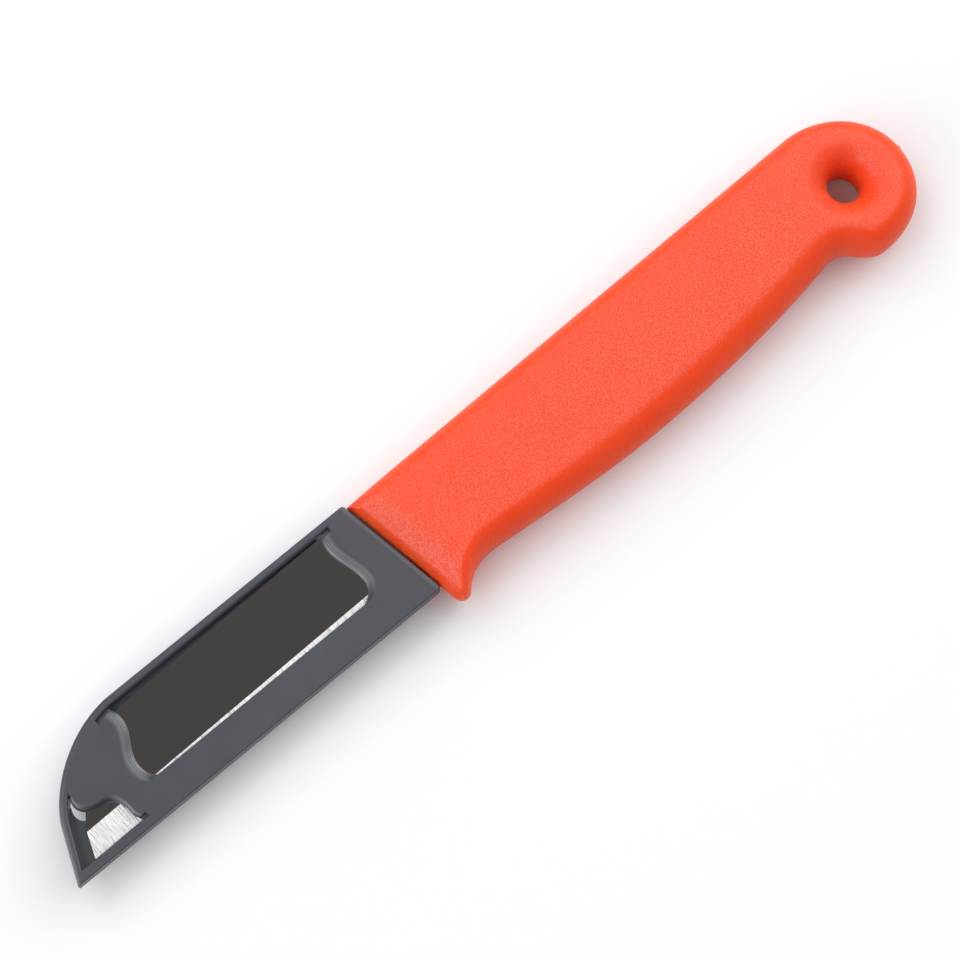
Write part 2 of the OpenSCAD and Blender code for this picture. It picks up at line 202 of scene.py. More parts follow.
# Places in the frame: the handle's box holds the drawing's origin
handle_low, handle_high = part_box("handle")
ORIGIN = Vector((
    handle_high.x - HANDLE_L * MM,
    handle_high.y - SPINE_H * MM,
    (handle_low.z + handle_high.z) / 2,
))
KNIFE_PLACE = Matrix.Translation(ORIGIN) @ Matrix.Scale(MM, 4)
GUARD_TURN = (
    Matrix.Translation((-BLADE_L / 2, BLADE_MID, 0))
    @ Matrix.Rotation(math.radians(-LEAN), 4, "Z")
    @ Matrix.Translation((BLADE_L / 2, 0, 0))
)
GUARD_PLACE = KNIFE_PLACE @ GUARD_TURN


# Plane curves
def direction(angle):
    return np.array([math.cos(math.radians(angle)), math.sin(math.radians(angle))])


def tangent(angle):
    return math.tan(math.radians(angle))


def cubic(a, b, c, d, t):
    u = 1 - t
    return u**3 * a + 3 * u * u * t * b + 3 * u * t * t * c + t**3 * d


def bend(a, leave, b, arrive, steps, ka=0.38, kb=0.38):
    """Smooth curve from a, leaving at one angle, to b, arriving at another; b itself is left out."""
    a, b = np.array(a, float), np.array(b, float)
    span = np.linalg.norm(b[:2] - a[:2])
    c = a + (b - a) / 3
    d = b - (b - a) / 3
    c[:2] = a[:2] + ka * span * direction(leave)
    d[:2] = b[:2] - kb * span * direction(arrive)
    return [cubic(a, c, d, b, i / steps) for i in range(steps)]


def arc(centre, radius, start, end, steps, first=1.0, last=1.0):
    """Arc whose third value runs from first to last; its end is left out."""
    shares = [i / steps for i in range(steps)]
    places = [np.array(centre) + radius * direction(start + (end - start) * s) for s in shares]
    return [np.array([*p, first + (last - first) * s]) for p, s in zip(places, shares)]


def spokes(path):
    """Vectors that move each corner inwards by the third values of the sides beside it."""
    found = []
    for i, b in enumerate(path):
        a, c = path[i - 1], path[(i + 1) % len(path)]
        n1 = np.array([a[1] - b[1], b[0] - a[0]]) / np.linalg.norm(b[:2] - a[:2])
        n2 = np.array([b[1] - c[1], c[0] - b[0]]) / np.linalg.norm(c[:2] - b[:2])
        turn = n1[0] * n2[1] - n1[1] * n2[0]
        if abs(turn) > 0.5:
            mitre = [a[2] * n2[1] - c[2] * n1[1], c[2] * n1[0] - a[2] * n2[0]]
            found.append(np.array(mitre) / turn)
        else:
            found.append((n1 + n2) / np.linalg.norm(n1 + n2) * b[2])
    return np.array(found)


def flat(path):
    return np.array([p[:2] for p in path])


def inset(path, depth):
    path = flat(path)
    return path + depth * spokes([np.array([*p, 1.0]) for p in path])


def nose(tip, angle, length, run, top, steps, drop):
    """Rounded nose from the straight back down to the tip."""
    start = np.array([tip[0] + run, top])
    end = np.array(tip) + length * direction(angle)
    c = start - [NOSE_PULL[0] * run, drop]
    d = end + NOSE_PULL[1] * length * direction(angle)
    return [cubic(start, c, d, end, i / steps) for i in range(steps + 1)] + [np.array(tip)]


# Solids, made in millimetres
def solid(name, points, faces):
    mesh = bpy.data.meshes.new(name)
    mesh.from_pydata([tuple(map(float, p)) for p in points], [], faces)
    mesh.validate()
    shape = bmesh.new()
    shape.from_mesh(mesh)
    bmesh.ops.recalc_face_normals(shape, faces=shape.faces)
    shape.to_mesh(mesh)
    shape.free()
    made = bpy.data.objects.new(name, mesh)
    bpy.context.scene.collection.objects.link(made)
    return made


def loft(name, rings):
    """Solid through closed rings of (x, y, z) from the lowest up, anticlockwise seen from above."""
    count = len(rings[0])
    points = [p for ring in rings for p in ring]
    faces = [list(range(count))[::-1], [(len(rings) - 1) * count + i for i in range(count)]]
    for k in range(len(rings) - 1):
        for i in range(count):
            a, b = k * count + i, k * count + (i + 1) % count
            faces.append([a, b, b + count, a + count])
    return solid(name, points, faces)


def raised(path, z):
    return [(p[0], p[1], z) for p in path]


def prism(name, path, low, high):
    return loft(name, [raised(path, low), raised(path, high)])


def revolved(name, profile, centre, steps=128):
    """Solid of a profile of (radius, z) about an upright axis, from the lowest up."""
    turns = [direction(360 * i / steps) for i in range(steps)]
    return loft(name, [[(*(np.array(centre) + r * t), z) for t in turns] for r, z in profile])


def combine(target, operation, *others):
    """Applies a boolean of each other solid to the target and removes the others."""
    for other in others:
        step = target.modifiers.new("step", "BOOLEAN")
        step.operation = operation
        step.object = other
        step.solver = "EXACT"
        step.use_self = True
        settled = target.evaluated_get(bpy.context.evaluated_depsgraph_get())
        mesh = bpy.data.meshes.new_from_object(settled)
        target.modifiers.clear()
        target.data = mesh
        bpy.data.objects.remove(other)
    return target


def dress(piece, place, material, node, body, sharp=32):
    """Puts a finished solid in the frame, in place of its node, with smooth shading between sharp edges."""
    mesh = piece.data
    mesh.transform(place)
    mesh.materials.clear()
    mesh.materials.append(material)
    mesh.shade_smooth()
    mesh.set_sharp_from_angle(angle=math.radians(sharp))
    normals = piece.modifiers.new("normals", "WEIGHTED_NORMAL")
    normals.keep_sharp = True
    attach(piece, body)
    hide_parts(node)


# Handle
def front_at(y):
    return FRONT_TOP - (y - SPINE_H) * tangent(FRONT_ANGLE)


def handle_outline():
    """Anticlockwise from the front corner at the spine: x, y and width of the edge's rounding."""
    finger = np.array([front_at(FINGER_R - FINGER_DEPTH) + FINGER_R / direction(FRONT_ANGLE)[0],
                       FINGER_R - FINGER_DEPTH])
    finger_out = [*(finger + FINGER_R * direction(FINGER_END)), FINGER_ROUND]
    hollow = [*HOLLOW, HOLLOW_ROUND]
    belly = [*BELLY, BELLY_ROUND]
    notch = [HANDLE_L - NOTCH_FROM_END, -NOTCH_DEPTH, NOTCH_ROUND]
    under = [notch[0] + UNDER_ALONG * (NOTCH_FROM_END - BEAK_FROM_END),
             -NOTCH_DEPTH - UNDER_DOWN * (BEAK_DEPTH - NOTCH_DEPTH), BEAK_ROUND]
    beak = [HANDLE_L - BEAK_FROM_END, -BEAK_DEPTH, BEAK_ROUND]
    end = [HANDLE_L, -POMMEL_DROP, POMMEL_ROUND]
    top = [HANDLE_L - POMMEL_RUN, SPINE_H, SPINE_ROUND]
    spine = (top[0], *np.arange(SPINE_RUN, front_at(SPINE_H), -CREASE_STEP))
    return (
        [np.array([front_at(SPINE_H), SPINE_H, FRONT_ROUND])]
        + arc(finger, FINGER_R, 180 + FRONT_ANGLE, FINGER_END, 20, FRONT_ROUND, FINGER_ROUND)
        + bend(finger_out, FINGER_END - 270, hollow, 0, 24, *HOLLOW_PULL)
        + bend(hollow, 0, belly, 0, 40, *BELLY_PULL)
        + bend(belly, 0, notch, NOTCH_RISE, 36, *NOTCH_PULL)
        + bend(notch, NOTCH_RISE, under, UNDER_ANGLE, 20, *UNDER_PULL)
        + bend(under, UNDER_ANGLE, beak, 0, 20, *BEAK_PULL)
        + bend(beak, 0, end, 90, 36, *END_PULL)
        + bend(end, 90, top, 180, 36, *TOP_PULL)
        + [np.array([x, SPINE_H, SPINE_ROUND]) for x in spine]
    )


def half_thickness(place):
    """Half the handle's thickness at a place: the front facets rise over a soft crease to the flat sides."""
    turn = direction(FRONT_ANGLE)
    slope = (HALF_T - FRONT_T / 2) / FACET_L
    ahead = FACET_L - (place[0] - FRONT_TOP) * turn[0] - (place[1] - SPINE_H) * turn[1]
    if ahead > CREASE_W:
        return HALF_T - slope * ahead
    return HALF_T - slope * max(0, ahead + CREASE_W) ** 2 / (4 * CREASE_W)


def inside(point, loop):
    """Whether a closed loop goes round a point."""
    after = np.roll(loop, -1, axis=0)
    crosses = (loop[:, 1] > point[1]) != (after[:, 1] > point[1])
    rise = np.where(after[:, 1] == loop[:, 1], 1, after[:, 1] - loop[:, 1])
    at = loop[:, 0] + (point[1] - loop[:, 1]) * (after[:, 0] - loop[:, 0]) / rise
    return np.count_nonzero(crosses & (at > point[0])) % 2 == 1


def facet_rows(rim):
    """Places on the facets and their creases, in rows beside the front edge, well inside the rim."""
    along, down = direction(FRONT_ANGLE), direction(FRONT_ANGLE - 90)
    corner = np.array([FRONT_TOP, SPINE_H])
    spots = [
        corner + u * along + v * down
        for u in np.arange(FRONT_ROUND + CREASE_STEP, FACET_L + CREASE_W + CREASE_STEP, CREASE_STEP)
        for v in np.arange(0, SPINE_H + FINGER_DEPTH, CREASE_ROW)
    ]
    margin = [(CREASE_MARGIN, 0), (-CREASE_MARGIN, 0), (0, CREASE_MARGIN), (0, -CREASE_MARGIN)]
    return [p for p in spots if all(inside(p + m, rim) for m in margin)]


def hole_cutter():
    """Neck of the hang hole with a trumpet mouth on both sides."""
    neck = HOLE_D / 2
    flare = (HOLE_RIM_D / 2 - neck) / (1 - direction(FLARE_RIM)[0])
    depth = (HALF_T - HOLE_NECK / 2) / direction(FLARE_END)[1]
    turns = [direction(g) for g in range(0, FLARE_END + 4, 4)]
    side = [(neck + flare * (1 - t[0]), HOLE_NECK / 2 + depth * t[1]) for t in turns]
    return revolved("hole", [(r, -z) for r, z in side[::-1]] + side, HOLE)


def blade_section(name, start, end, grow=0.0):
    """Blade section with its ground bevels, along x."""
    half = BLADE_T / 2 + grow
    profile = [
        (BLADE_TOP + grow, half), (BEVEL_TOP, half), (BLADE_EDGE - grow, EDGE_T / 2 + grow),
        (BLADE_EDGE - grow, -EDGE_T / 2 - grow), (BEVEL_TOP, -half), (BLADE_TOP + grow, -half),
    ]
    count = len(profile)
    points = [(x, y, z) for x in (start, end) for y, z in profile]
    faces = [list(range(count))[::-1], list(range(count, 2 * count))]
    faces += [[i, (i + 1) % count, count + (i + 1) % count, count + i] for i in range(count)]
    return solid(name, points, faces)


def tang_prism(name, grow=0.0):
    """Tang from inside the full-width root to its round end."""
    half = TANG_W / 2 + grow
    centre = (TANG_L - TANG_W / 2, BLADE_MID)
    low, high = BLADE_MID - half, BLADE_MID + half
    path = [(0, low)] + arc(centre, half, -90, 90, 32) + [(centre[0], high), (0, high)]
    return prism(name, path, -BLADE_T / 2 - grow, BLADE_T / 2 + grow)


def tang_pins(name, diameter):
    long = BLADE_T / 2 + OVER
    profile = [(diameter / 2, -long), (diameter / 2, long)]
    pins = [revolved(name, profile, (x, BLADE_MID), 48) for x in TANG_HOLES]
    return combine(pins[0], "UNION", pins[1])


def make_handle(material):
    path = handle_outline()
    outline, inwards = flat(path), spokes(path)
    # The spine's points beside the front corner lean with its mitre
    for spot, inward in zip(outline, inwards):
        if spot[1] == SPINE_H and spot[0] <= SPINE_RUN:
            inward[0] = inwards[0][0] * (SPINE_RUN - spot[0]) / (SPINE_RUN - FRONT_TOP)
    turns = [90 - 5 * k for k in range(18)] + PARTING_TURNS[::-1]
    turns = [-g for g in turns] + [0] + turns[::-1]

    def ring(g):
        depth = 1 - direction(g)[0]
        shift = inwards * depth
        if abs(g) < PARTING_TURNS[0]:
            shift = shift + PARTING * inwards / np.linalg.norm(inwards, axis=1)[:, None]
        return [(*p, half_thickness(p) * direction(g)[1]) for p in outline + shift]

    rings = [ring(g) for g in turns]
    count = len(outline)
    rim = outline + inwards
    rows = facet_rows(rim)
    spots = [Vector(p) for p in (*rim, *rows)]
    triangles, origins = delaunay_2d_cdt(spots, [], [list(range(count))], 1, 1e-5)[2:4]
    sides = [
        [k * count + i, k * count + (i + 1) % count, (k + 1) * count + (i + 1) % count, (k + 1) * count + i]
        for k in range(len(rings) - 1) for i in range(count)
    ]
    # Each side's cap uses the last ring's points and its own copy of the rows
    points = [p for r in rings for p in r]
    caps = []
    for side, ring_start in ((-1, 0), (1, (len(rings) - 1) * count)):
        own = [ring_start + i for i in range(count)] + [len(points) + i for i in range(len(rows))]
        points += [(*p, side * half_thickness(p)) for p in rows]
        caps += [[own[origins[i][0]] for i in t] for t in triangles]
    body = solid("handle_moulding", points, sides + caps)
    combine(body, "DIFFERENCE", hole_cutter())
    turns = [direction(15 * k) for k in range(-5, 6)]
    profile = [(STUB_R * t[0], STUB[2] + STUB_R * t[1]) for t in turns]
    combine(body, "UNION", revolved("stub", profile, STUB[:2], 24))
    cavity = tang_prism("cavity", MOULD_GAP)
    combine(cavity, "DIFFERENCE", tang_pins("pins", TANG_HOLE_D - 2 * MOULD_GAP))
    slot = blade_section("slot", -2 * FINGER_R - OVER, ROOT_L + MOULD_GAP, MOULD_GAP)
    combine(body, "DIFFERENCE", combine(slot, "UNION", cavity))
    dress(body, KNIFE_PLACE, material, "handle", "knife")


# Blade
def make_blade(material):
    back = nose((-BLADE_L, BLADE_EDGE), POINT_ANGLE, POINT_L, POINT_RUN, BLADE_TOP, 48, POINT_DROP)
    plan = [(ROOT_L, BLADE_EDGE - OVER / 100), (ROOT_L, BLADE_TOP)] + back
    body = prism("blade_stamping", plan, -OVER, OVER)
    combine(body, "INTERSECT", blade_section("section", -BLADE_L - OVER, ROOT_L + OVER))
    combine(body, "UNION", tang_prism("tang"))
    combine(body, "DIFFERENCE", tang_pins("holes", TANG_HOLE_D))
    dress(body, KNIFE_PLACE, material, "blade", "knife", 3)


# Guard, in its own straight axes with y = 0 along the middle of its slot
WINDOW_LOW = EDGE_BAND - GUARD_H
HEEL_X = -HEEL_GAP - HEEL_BAND
MIDDLE_X = TIP[0] + WINDOW_FROM_TIP
TIP_X = TIP[0] + TIP_WINDOW_L
WAIST_Y = WINDOW_LOW + HEEL_CORNER
SWELL_Y = SLOT_H - SWELL_DROP
HEEL_TOP = HEEL_X - HEEL_SWELL + SWELL_END
MIDDLE_TOP = MIDDLE_X + MIDDLE_SWELL - SWELL_END
CREST = np.array([TIP_X - TIP_CREST[0], TIP_CREST[1] - SLOT_H])
TIP_TOP = np.array([CREST[0] + SLIT_W / 2, TIP_WINDOW_H - SLOT_H])
GUARD_NOSE = nose(TIP, NOSE_ANGLE, NOSE_L, NOSE_RUN, GUARD_H, 60, NOSE_DROP)


def heel_at(y):
    return -HEEL_GAP - y * tangent(HEEL_ANGLE)


def heel_edge(dx, dy=0.0):
    """Main window's edge at the open end, moved by dx."""
    low = (HEEL_X - HEEL_CORNER + dx, WINDOW_LOW + dy)
    waist = (HEEL_X + dx, WAIST_Y)
    swell = (HEEL_X - HEEL_SWELL + dx, SWELL_Y)
    top = np.array([HEEL_TOP + dx, SLOT_H])
    return (
        bend(low, 0, waist, 90, 18) + bend(waist, 90, swell, 90, 16) + bend(swell, 90, top, 60, 10)
        + [top, np.array([top[0], GUARD_H])]
    )


def middle_edge(dx, dy=0.0):
    """Main window's edge at the middle band, moved by dx."""
    low = np.array([MIDDLE_X + MIDDLE_CORNER + dx, WINDOW_LOW + dy])
    waist = (MIDDLE_X + dx, WAIST_Y)
    swell = (MIDDLE_X + MIDDLE_SWELL + dx, SWELL_Y)
    top = (MIDDLE_TOP + dx, SLOT_H)
    return (
        [np.array([top[0], GUARD_H])]
        + bend(top, -60, swell, -90, 10) + bend(swell, -90, waist, -90, 16) + bend(waist, -90, low, 0, 14)
        + [low]
    )


def tip_edge(dx, dy=0.0):
    """Tip window's edge, which rises from the lower wall in an S to a crest beside the nose."""
    low = (TIP_X + dx, -SLOT_H)
    knee = (TIP_X - TIP_KNEE[0] + dx, TIP_KNEE[1] - SLOT_H)
    step = (TIP_X - TIP_STEP[0] + dx, TIP_STEP[1] - SLOT_H + dy)
    crest, top = CREST + [dx, dy], TIP_TOP + [dx, dy]
    return (
        [np.array([low[0], -GUARD_H])]
        + bend(low, 120, knee, 90, 8) + bend(knee, 90, step, STEP_ANGLE, 18, *STEP_PULL)
        + bend(step, STEP_ANGLE, crest, 90, 18, *CREST_PULL) + bend(crest, 90, top, 75, 4)
        + [top, np.array([TIP[0], top[1]])]
    )


def guard_outline():
    """Outline whose third value says how wide the rim's rounding is there."""
    lean = HEEL_R / direction(HEEL_ANGLE)[0]
    edge = -GUARD_H - EDGE_EXTRA
    low = (heel_at(HEEL_R + edge) - lean, HEEL_R + edge)
    high = (heel_at(GUARD_H - HEEL_R) - lean, GUARD_H - HEEL_R)
    corners = arc(low, HEEL_R, 270, 360 + HEEL_ANGLE, 12, BOTTOM_RIM) + arc(high, HEEL_R, HEEL_ANGLE, 90, 12)
    return corners + [np.array([*p, NOSE_RIM]) for p in (*GUARD_NOSE[:-1], (TIP[0], edge))]


# Sections of the window edges, from the blade to the face: shares of the height and of the slope
STREAKED = [(0, 0), (0.3, 0), (0.36, 0.02), (0.42, 0.07), (0.55, 0.2), (0.66, 0.33), (0.665, 0.42),
            (0.77, 0.58), (0.775, 0.67), (0.87, 0.86), (0.93, 1.04), (0.97, 1.22), (0.99, 1.4), (1, 1.6)]
ROUNDED = [(0, 0), (0.25, 0), (0.42, 0.06), (0.6, 0.2), (0.76, 0.42), (0.88, 0.66), (0.96, 0.88), (1, 1.15)]


def window(name, inner, mouth, section):
    """Opening in the front plate, upright through the slot and shaped by its section above."""
    inner, mouth = np.array(inner), np.array(mouth)
    above = [(SLOT_T / 2 + PLATE_T * h, share) for h, share in section]
    heights = [(0, 0)] + above + [(HIGH, section[-1][1] + 0.1)]
    return loft(name, [raised(inner + share * (mouth - inner), z) for z, share in heights])


def slot_clip(path):
    """What the guard's walls leave free, with round edges at both faces, widest along the spine."""
    widths = [TIP_LIP, 1] + list(np.linspace(1, TIP_LIP, len(path) - 2))
    outwards = -LIP_R * spokes([np.array([*p, w]) for p, w in zip(path, widths)])
    turns = [direction(90 * k / 6) for k in range(7)]
    rings = [(FACE - LIP_H + LIP_H * t[1], 1 - t[0]) for t in turns] + [(HIGH, 1)]
    outer = [raised(path + share * outwards, z) for z, share in rings]
    return loft("clip", [[(x, y, -z) for x, y, z in ring] for ring in outer[::-1]] + outer)


def heel_chamfer(side):
    """Wedge above the gentle chamfer at the open end, on one side."""
    slope = CHAMFER_H / CHAMFER_W
    low, high = FACE - CHAMFER_H - OVER * slope, FACE + OVER * slope
    profile = [(OVER, low), (OVER, HIGH), (-CHAMFER_W - OVER, HIGH), (-CHAMFER_W - OVER, high)]
    turn = direction(HEEL_ANGLE)

    def ring(along):
        return [
            (turn[0] * u - turn[1] * along + heel_at(0), turn[1] * u + turn[0] * along, side * z)
            for u, z in profile
        ]

    return loft("chamfer", [ring(-2 * GUARD_H), ring(2 * GUARD_H)])


def make_guard(material):
    path = guard_outline()
    plan, inwards = flat(path), RIM_R * spokes(path)
    # Upper half of the outer wall, from the groove of the mould's halves to the round rim
    upper = [raised(inset(plan, SEAM_D), SEAM_H / 2), raised(plan, SEAM_H / 2 + SEAM_D)]
    for k in range(7):
        turn = direction(15 * k)
        upper.append(raised(plan + (1 - turn[0]) * inwards, FACE - RIM_R * (1 - turn[1])))
    lower = [[(x, y, -z) for x, y, z in ring] for ring in upper[::-1]]
    body = loft("blade_guard_moulding", lower + upper)
    combine(body, "DIFFERENCE", heel_chamfer(1), heel_chamfer(-1))

    mouth_x = heel_at(-GUARD_H) + WALL + OVER
    mouth_line = [np.array([mouth_x, -GUARD_H]), np.array([mouth_x, GUARD_H])]
    slot_path = inset(mouth_line + GUARD_NOSE, WALL)
    room = [TIP, (mouth_x, -GUARD_H), (mouth_x, GUARD_H), (TIP[0], GUARD_H)]
    outside = [TIP - [OVER, 0], TIP - [OVER, OVER]]
    back = mouth_line + heel_edge(-BYPASS_GAP, BYPASS_GAP)[::-1] + middle_edge(-MIDDLE_LAP, BYPASS_GAP)[::-1]
    back += [np.array([TIP[0], GUARD_H])] + tip_edge(-BYPASS_GAP, -BYPASS_GAP)[::-1]
    main = heel_edge(0) + middle_edge(0)
    main_mouth = heel_edge(HEEL_SLOPE) + middle_edge(-MIDDLE_SLOPE)
    opening = prism("slab", room, -SLOT_T / 2, SLOT_T / 2)
    combine(
        opening, "UNION",
        window("main", main, main_mouth, STREAKED),
        window("tip", tip_edge(0) + outside, tip_edge(TIP_SLOPE, TIP_SLOPE) + outside, ROUNDED),
        prism("back", back, -HIGH, 0),
        corner_slits(slot_path),
    )
    combine(opening, "INTERSECT", slot_clip(slot_path))
    combine(body, "DIFFERENCE", opening)
    dress(body, GUARD_PLACE, material, "blade_guard", "guard", 20)


def corner_slits(slot_path):
    """Narrow slits beside the slot's wall at the ends of the windows."""
    places = [
        (HEEL_TOP - OVER, HEEL_TOP + SLIT_L, 0, GUARD_H),
        (MIDDLE_TOP - SLIT_L - OVER, MIDDLE_TOP + OVER, 0, GUARD_H),
        (TIP_X - OVER, TIP_X + TIP_SLIT_L - OVER, -GUARD_H, 0),
        (TIP[0], TIP_TOP[0], TIP_TOP[1] - OVER, TIP_TOP[1] + TIP_SLIT_L - OVER),
    ]
    low = SLOT_T / 2 + SLIT_FLOOR
    boxes = [prism("slit", [(x0, y0), (x1, y0), (x1, y1), (x0, y1)], low, HIGH) for x0, x1, y0, y1 in places]
    combine(boxes[0], "UNION", *boxes[1:])
    return combine(boxes[0], "DIFFERENCE", prism("inside", inset(slot_path, SLIT_W), -OVER, HIGH + OVER))


# Finish: tones, sheens and roughnesses run between two values over a span of what drives them
NOISE_SPAN = (0.3, 0.7)
HANDLE_TONE_MM = 9
HANDLE_TONES = ((0.95, 0.08, 0.018), (0.98, 0.086, 0.02))
HANDLE_ROUGHNESS = (0.3, 0.38)
# Painted sheen by facing direction on the handle; the side roundings get painted shade
HANDLE_PAINTED_SHEEN = (0.9, 0.12)
PAINTED_DULLING_SPAN = (0.17, 0.42)
SPINE_PAINTED_DULLING = 0.62
# Painted sheen in the hang hole's flares
MOUTH_SHARE = 0.85
MOUTH_PAINTED_SHEEN = 0.4
# Painted sheen on surfaces facing the blade, such as the front facets
FACET_SPAN = (-0.5, -0.12)
FACET_PAINTED_SHEEN = (1.4, 1.0)
# Painted shade on the handle's front, which faces the guard
FRONT_SPAN = (-0.9, -0.6)
FRONT_PAINTED_SHADE = (0.1, 1.0)
GRAIN_MM = 0.26
GRAIN_DEPTH = 0.2
GRAIN_SPAN = (0.37, 0.63)
GRAIN_SHEEN = (0.1, 1.45)
FINE_MM = 0.12
FINE_DEPTH = 0.03
GLOW_MM = 4.0
GUARD_TONE_MM = 6
GUARD_TONES = ((0.05, 0.053, 0.066), (0.058, 0.061, 0.075))
GUARD_ROUGHNESS = (0.28, 0.36)
SATIN_DEPTH = 0.012
# Painted shade on the guard's walls facing the cutting edge's side, painted sheen on the windows' slopes
WALL_SPAN = (-0.7, -0.1)
WALL_PAINTED_SHADE = (0.35, 0.9)
SLOPE_SPAN = (0.2, 0.6)
SLOPE_PAINTED_SHEEN = (1.0, 1.6)
FACE_TONE = (0.63, 0.59, 0.57)
FACE_ROUGHNESS = 0.07
BEVEL_TONES = ((0.58, 0.565, 0.555), (0.79, 0.775, 0.765))
BEVEL_ROUGHNESS = (0.26, 0.4)
RAGGED_MM = 0.5
RAGGED_DEPTH = 0.08
GRIND_SOFT = 0.02
MARKS_MM = 0.24
MARKS_DEPTH = 0.3
MARKS_SPAN = (0.35, 0.65)
FLOOR_TONE_MM = 300
FLOOR_TONES = ((0.88, 0.903, 0.923), (0.89, 0.913, 0.933))


# Materials
def new_material(name):
    made = bpy.data.materials.new(name)
    made.use_nodes = True
    tree = made.node_tree
    return made, tree, tree.nodes["Principled BSDF"]


def add(tree, kind, inputs=None, **settings):
    made = tree.nodes.new(kind)
    for key, value in settings.items():
        setattr(made, key, value)
    for key, value in (inputs or {}).items():
        made.inputs[key].default_value = value
    return made


def place(tree):
    return add(tree, "ShaderNodeTexCoord").outputs["Object"]


def noise(tree, where, size_mm, detail=2.0, stretch=(1, 1, 1)):
    """Noise whose features are about that many millimetres across."""
    mapping = add(tree, "ShaderNodeMapping", {"Scale": stretch})
    made = add(tree, "ShaderNodeTexNoise", {"Scale": 1 / (size_mm * MM), "Detail": detail})
    tree.links.new(where, mapping.inputs["Vector"])
    tree.links.new(mapping.outputs["Vector"], made.inputs["Vector"])
    return made.outputs["Fac"]


def ramp(tree, value, low, high, first, last):
    """Runs from first to last, numbers or colours, as value goes from low to high."""
    if isinstance(first, tuple):
        made = add(tree, "ShaderNodeValToRGB")
        for stop, position, colour in zip(made.color_ramp.elements, (low, high), (first, last)):
            stop.position = position
            stop.color = (*colour, 1)
        tree.links.new(value, made.inputs["Fac"])
        return made.outputs["Color"]
    spans = {"From Min": low, "From Max": high, "To Min": first, "To Max": last}
    made = add(tree, "ShaderNodeMapRange", spans)
    tree.links.new(value, made.inputs["Value"])
    return made.outputs["Result"]


def product(tree, *values):
    result = values[0]
    for value in values[1:]:
        result = math_node(tree, "MULTIPLY", result, value)
    return result


def bump(tree, height, depth_mm, strength, before=None):
    made = add(tree, "ShaderNodeBump", {"Strength": strength, "Distance": depth_mm * MM})
    tree.links.new(height, made.inputs["Height"])
    if before:
        tree.links.new(before, made.inputs["Normal"])
    return made.outputs["Normal"]


def split_axes(tree, vector):
    made = add(tree, "ShaderNodeSeparateXYZ")
    tree.links.new(vector, made.inputs["Vector"])
    return made.outputs


def math_node(tree, operation, first, second):
    """Value of an operation on a socket and a number or another socket."""
    made = add(tree, "ShaderNodeMath", operation=operation)
    tree.links.new(first, made.inputs[0])
    if isinstance(second, float):
        made.inputs[1].default_value = second
    else:
        tree.links.new(second, made.inputs[1])
    return made.outputs[0]


def handle_plastic():
    """Orange-red moulding whose mould was spark-eroded to a fine leathery grain, with sheen painted by
    facing direction.
    """
    made, tree, shader = new_material("handle_plastic")
    where = place(tree)
    tone = noise(tree, where, HANDLE_TONE_MM, 3)
    tree.links.new(ramp(tree, tone, *NOISE_SPAN, *HANDLE_TONES), shader.inputs["Base Color"])
    grain = noise(tree, where, GRAIN_MM, 2)
    fine = noise(tree, where, FINE_MM, 1)
    tree.links.new(ramp(tree, fine, *NOISE_SPAN, *HANDLE_ROUGHNESS), shader.inputs["Roughness"])
    # The mould's grain varies the sheen; on top of that, sheen is painted by facing direction: full on the
    # flat sides and facets, taken off the roundings that face the spine, the belly and the pommel end as
    # painted shade, the spine side less so
    normal = split_axes(tree, add(tree, "ShaderNodeTexCoord").outputs["Normal"])
    spine_share = math_node(tree, "MULTIPLY", normal["Y"], SPINE_PAINTED_DULLING)
    belly_share = math_node(tree, "MULTIPLY", normal["Y"], -1.0)
    leaning = add(tree, "ShaderNodeCombineXYZ")
    tree.links.new(math_node(tree, "MAXIMUM", normal["X"], 0.0), leaning.inputs["X"])
    tree.links.new(math_node(tree, "MAXIMUM", spine_share, belly_share), leaning.inputs["Y"])
    amount = add(tree, "ShaderNodeVectorMath", operation="LENGTH")
    tree.links.new(leaning.outputs[0], amount.inputs[0])
    facing_painted_sheen = ramp(tree, amount.outputs["Value"], *PAINTED_DULLING_SPAN, *HANDLE_PAINTED_SHEEN)
    # Painted sheen around the hole's mouths, which keeps their walls from being dulled with the other
    # roundings
    centre = KNIFE_PLACE @ Vector((*HOLE, 0))
    around = add(tree, "ShaderNodeMapping", {"Scale": (1, 1, 0), "Location": (-centre.x, -centre.y, 0)})
    apart = add(tree, "ShaderNodeVectorMath", operation="LENGTH")
    tree.links.new(where, around.inputs["Vector"])
    tree.links.new(around.outputs["Vector"], apart.inputs[0])
    rim = HOLE_RIM_D / 2 * MM
    mouth = ramp(tree, apart.outputs["Value"], MOUTH_SHARE * rim, rim, MOUTH_PAINTED_SHEEN, 0.0)
    # Painted sheen: surfaces facing the blade get up to 1.4 times the sheen
    facets = ramp(tree, normal["X"], *FACET_SPAN, *FACET_PAINTED_SHEEN)
    # Painted shade: the front, facing the guard, loses nearly all its sheen
    front = ramp(tree, normal["X"], *FRONT_SPAN, *FRONT_PAINTED_SHADE)
    # Specular level: the grain's own variation times the painted sheens
    sheen = product(
        tree, math_node(tree, "MAXIMUM", facing_painted_sheen, mouth), product(tree, facets, front),
        ramp(tree, grain, *GRAIN_SPAN, *GRAIN_SHEEN),
    )
    tree.links.new(sheen, shader.inputs["Specular IOR Level"])
    fine_normal = bump(tree, fine, FINE_DEPTH, 1.0)
    tree.links.new(bump(tree, grain, GRAIN_DEPTH, 1.0, fine_normal), shader.inputs["Normal"])
    shader.inputs["Subsurface Weight"].default_value = 0.8
    shader.inputs["Subsurface Radius"].default_value = (1, 0.1, 0.04)
    shader.inputs["Subsurface Scale"].default_value = GLOW_MM * MM
    return made


